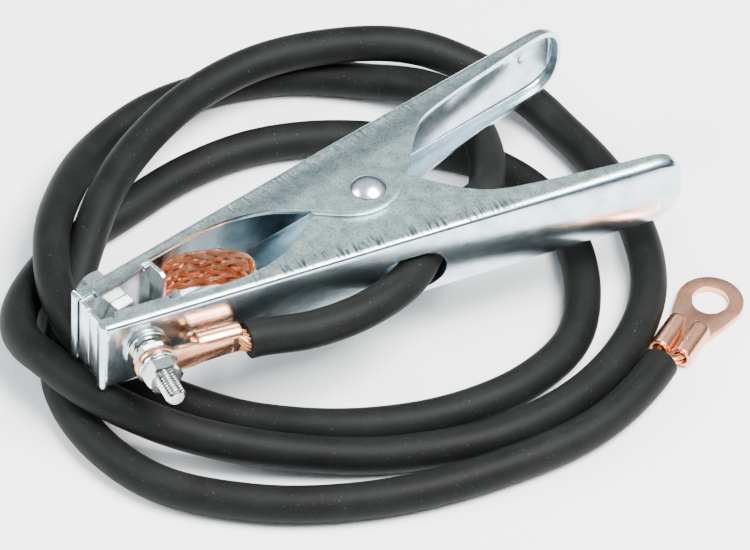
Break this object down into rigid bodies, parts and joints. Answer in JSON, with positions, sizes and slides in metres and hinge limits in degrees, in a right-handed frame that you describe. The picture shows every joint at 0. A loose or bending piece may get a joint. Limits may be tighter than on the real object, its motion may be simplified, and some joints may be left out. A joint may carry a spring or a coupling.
{
  "type": "ground clamp",
  "caption": "Spring ground clamp for arc welding: two channel arms on a riveted pivot with a torsion spring, contact plates joined by a braid, and a short cable with a ring terminal.",
  "frame": {"origin": "middle of the line where the two contact teeth meet, at the front of the jaws", "axes": "+X runs from the jaws to the handles, +Y to the upper arm, +Z along the pivot rivet, up when the clamp lies on its side"},
  "size_m": [0.2032, 0.1889, 0.0515],
  "materials": {
    "arm_zinc": "zinc-plated sheet steel",
    "contact_zinc": "zinc-plated contact plate",
    "fastener_zinc": "zinc-plated fasteners",
    "rivet_zinc": "bright plated rivet",
    "spring_wire": "spring wire",
    "copper_braid": "bare copper braid",
    "copper_strands": "bare fine copper strands",
    "copper_sheet": "pressed copper sheet",
    "cable_rubber": "matt rubber cable jacket"
  },
  "bodies": {
    "lower": {"lower_arm": "arm_zinc", "lower_contact_plate": "contact_zinc", "lower_bolt": "fastener_zinc", "lower_washer": "fastener_zinc", "lower_lock_washer": "fastener_zinc", "lower_inner_nut": "fastener_zinc", "outer_washer": "fastener_zinc", "outer_nut": "fastener_zinc", "pivot_rivet": "rivet_zinc", "torsion_spring": "spring_wire", "copper_braid": "copper_braid", "near_strands": "copper_strands", "far_strands": "copper_strands", "cable_lug": "copper_sheet", "ring_terminal": "copper_sheet", "cable_jacket": "cable_rubber"},
    "upper": {"upper_arm": "arm_zinc", "upper_contact_plate": "contact_zinc", "upper_bolt": "fastener_zinc", "upper_washer": "fastener_zinc", "upper_lock_washer": "fastener_zinc", "upper_nut": "fastener_zinc"}
  },
  "joints": [
    {"name": "jaw_pivot", "type": "hinge", "parent": "lower", "child": "upper", "pos_m": [0.094, 0, 0], "axis": [0, 0, -1], "range_deg": [0, 11], "stiffness_Nm_per_rad": 6, "springref_deg": -34.38, "deforming": ["torsion_spring", "copper_braid"]}
  ]
}
